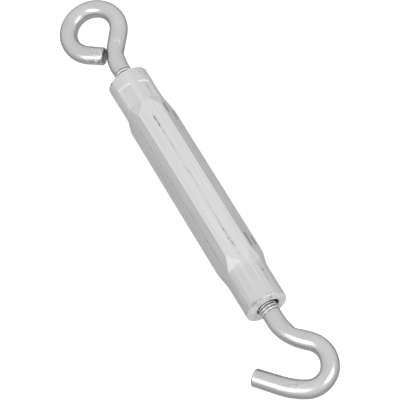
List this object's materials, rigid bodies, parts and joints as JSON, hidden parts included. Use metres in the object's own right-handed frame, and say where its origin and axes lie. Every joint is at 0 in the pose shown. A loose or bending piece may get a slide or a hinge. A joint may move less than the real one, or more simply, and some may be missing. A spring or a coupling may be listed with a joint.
{
  "type": "rigging turnbuckle",
  "caption": "Hook-and-eye rigging turnbuckle: hexagonal aluminium barrel with round ends, a bent-rod eye bolt on a left-hand thread and a hook bolt on a right-hand thread.",
  "frame": {"origin": "middle of the barrel, on the thread axis", "axes": "+X along the thread axis towards the hook, +Z out of the barrel's upper flat; the eye and hook lie in one plane turned 10.5 degrees about X from level"},
  "size_m": [0.2518, 0.0423, 0.0218],
  "materials": {
    "barrel_aluminium": "drawn satin aluminium with fine lengthwise lines and press marks",
    "zinc_plated_rod": "semi-gloss clear zinc plate over drawn and bent steel rod, finely pitted"
  },
  "bodies": {
    "barrel": {"barrel": "barrel_aluminium"},
    "eye_bolt_travel": {"eye_bolt_thread": "zinc_plated_rod"},
    "eye_bolt": {"eye_bolt_ring": "zinc_plated_rod"},
    "hook_bolt_travel": {"hook_bolt_thread": "zinc_plated_rod"},
    "hook_bolt": {"hook_bolt_hook": "zinc_plated_rod"}
  },
  "joints": [
    {"name": "eye_travel", "type": "slide", "parent": "barrel", "child": "eye_bolt_travel", "axis": [-1, 0, 0], "range_m": [0, 0.04921]},
    {"name": "eye_turn", "type": "hinge", "parent": "eye_bolt_travel", "child": "eye_bolt", "pos_m": [-0.075, 0, 0], "axis": [1, 0, 0], "range_deg": [0, 11160]},
    {"name": "hook_travel", "type": "slide", "parent": "barrel", "child": "hook_bolt_travel", "axis": [1, 0, 0], "range_m": [0, 0.04921]},
    {"name": "hook_turn", "type": "hinge", "parent": "hook_bolt_travel", "child": "hook_bolt", "pos_m": [0.0775, 0, 0], "axis": [1, 0, 0], "range_deg": [0, 11160]}
  ],
  "couplings": [
    {"joint": "eye_travel", "follows": "eye_turn", "m_per_rad": 0.00025266},
    {"joint": "hook_travel", "follows": "hook_turn", "m_per_rad": 0.00025266}
  ]
}
